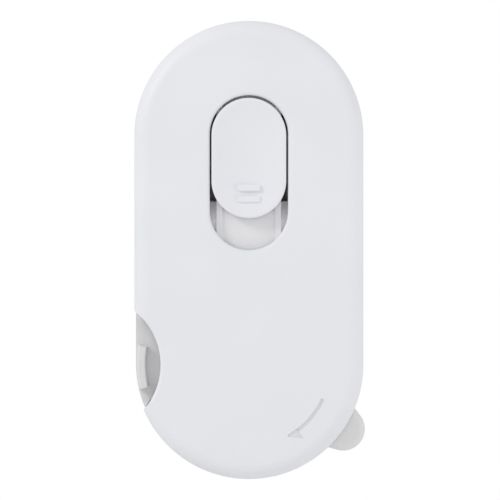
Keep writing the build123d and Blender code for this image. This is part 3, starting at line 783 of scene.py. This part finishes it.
# name: pale, deep and rubbed shade, roughness, and where they differ from the usual ones
# the grain's scale, the pits' depth and the width of the rubbed edge
plastics = {
    "cover_plastic": ((0.862, 0.868, 0.903), (0.842, 0.849, 0.886), (0.885, 0.888, 0.91), 0.46),
    "shell_plastic": ((0.855, 0.861, 0.893), (0.83, 0.837, 0.87), (0.875, 0.88, 0.9), 0.5),
    "button_plastic": (
        *((0.86, 0.866, 0.903), (0.842, 0.849, 0.886), (0.885, 0.888, 0.91), 0.4),
        *(4200.0, 0.014 * MM),
    ),
    # wheel_plastic is the cover's white plastic painted greyer and warmer: painted shade for the
    # wheel, which sits in shade behind the cover
    "wheel_plastic": ((0.81, 0.8, 0.802), (0.78, 0.768, 0.768), (0.83, 0.82, 0.82), 0.44),
    "bridge_plastic": (
        *((0.86, 0.858, 0.875), (0.835, 0.832, 0.848), (0.875, 0.873, 0.888), 0.48),
    ),
    "acetal": (
        *((0.84, 0.83, 0.79), (0.8, 0.785, 0.73), (0.86, 0.855, 0.82), 0.34),
        *(2600.0, 0.01 * MM, 0.4 * MM),
    ),
}
# name: bright, dull and worn shade, roughness, and the scale of the tool marks
metals = {
    "plated_steel": ((0.66, 0.67, 0.68), (0.5, 0.51, 0.52), (0.78, 0.79, 0.8), 0.34, 500.0),
    "bush_brass": ((0.8, 0.62, 0.33), (0.62, 0.45, 0.21), (0.9, 0.74, 0.45), 0.28, 1500.0),
    "washer_steel": ((0.62, 0.63, 0.64), (0.44, 0.45, 0.46), (0.74, 0.75, 0.76), 0.36, 1100.0),
    "screw_steel": ((0.62, 0.63, 0.64), (0.42, 0.42, 0.44), (0.76, 0.77, 0.78), 0.32, 2200.0),
    "spring_steel": ((0.5, 0.5, 0.52), (0.33, 0.31, 0.31), (0.66, 0.66, 0.68), 0.3, 1800.0),
}
finishes = {name: moulded(name, *look) for name, look in plastics.items()}
finishes.update({name: metal(name, *look) for name, look in metals.items()})
finishes["pad_foam"] = foam("pad_foam", (0.17, 0.17, 0.18), (0.05, 0.05, 0.055))

for part in frame["record"]["subparts"]:
    node = frame["nodes"][part["node"]]
    for material_slot in node.material_slots:
        material_slot.material = finishes[part["material_slot"]]
modelled = ((cover, "cover_plastic"), (button, "button_plastic"), (wheel, "wheel_plastic"))
for piece, finish in modelled:
    piece.data.materials.clear()
    piece.data.materials.append(finishes[finish])

# the arrow's sunken face gets a coarser grain than the front and a greyer colour, which is painted
# shade for the recess
arrow_look = ((0.8, 0.8, 0.82), (0.77, 0.77, 0.79), (0.82, 0.82, 0.84), 0.6, 2600.0, 0.05 * MM)
cover.data.materials.append(moulded("arrow_grain_and_painted_shade", *arrow_look))
arrow_floor = case_front - arrow_deep
for face in cover.data.polygons:
    if face.normal.y < -0.99 and abs(face.center.y + arrow_floor) < 0.02 * MM:
        face.material_index = 1


# ---- Room, lights and camera --------------------------------------------------
def make_room():
    """Pale round floor in a white room. The room looks white, and lights the latch more softly."""
    deselect()
    bpy.ops.mesh.primitive_cylinder_add(
        vertices=96, radius=floor_radius, depth=2 * MM, location=(0, 0, floor_z)
    )
    floor = named("floor")
    material, tree, shader = blank("pale_floor")
    drift = placed(tree, grain_group, Grain_scale=900.0, Drift_scale=12.0)["Drift"]
    shade = blended(tree, drift, (0.88, 0.88, 0.88), (0.91, 0.91, 0.91))
    tree.links.new(shade, shader.inputs["Base Color"])
    shader.inputs["Roughness"].default_value = 0.8
    floor.data.materials.append(material)

    world = bpy.data.worlds.new("white_room")
    bpy.context.scene.world = world
    world.use_nodes = True
    nodes, links = world.node_tree.nodes, world.node_tree.links
    lighting = nodes["Background"]
    lighting.inputs["Color"].default_value = (1, 1, 1, 1)
    lighting.inputs["Strength"].default_value = room_light
    seen = nodes.new("ShaderNodeBackground")
    seen.inputs["Color"].default_value = (1, 1, 1, 1)
    path = nodes.new("ShaderNodeLightPath")
    either = nodes.new("ShaderNodeMixShader")
    links.new(path.outputs["Is Camera Ray"], either.inputs["Fac"])
    links.new(lighting.outputs["Background"], either.inputs[1])
    links.new(seen.outputs["Background"], either.inputs[2])
    links.new(either.outputs["Shader"], nodes["World Output"].inputs["Surface"])


def area_light(name, place, size, power):
    """Square soft light that faces the latch."""
    deselect()
    bpy.ops.object.light_add(type="AREA", location=place)
    lamp = bpy.context.object
    lamp.name = name
    lamp.data.size = size
    lamp.data.energy = power
    lamp.rotation_euler = (-lamp.location).to_track_quat("-Z", "Y").to_euler()


floor_radius, floor_z, room_light = 0.2, -0.11, 0.74
make_room()
area_light("key", place=(-0.62, -0.45, 0.45), size=0.22, power=1.8)
area_light("fill", place=(0.75, -0.38, -0.2), size=0.5, power=1.1)
bpy.context.scene.view_settings.view_transform = "Standard"

camera_distance, camera_side = 1.087, 0.3 * MM
camera_data = bpy.data.cameras.new("camera")
camera_data.lens = 300
camera = bpy.data.objects.new("camera", camera_data)
bpy.context.collection.objects.link(camera)
camera.location = (camera_side, -case_front - camera_distance, 0)
camera.rotation_euler = (math.pi / 2, 0, 0)
bpy.context.scene.camera = camera
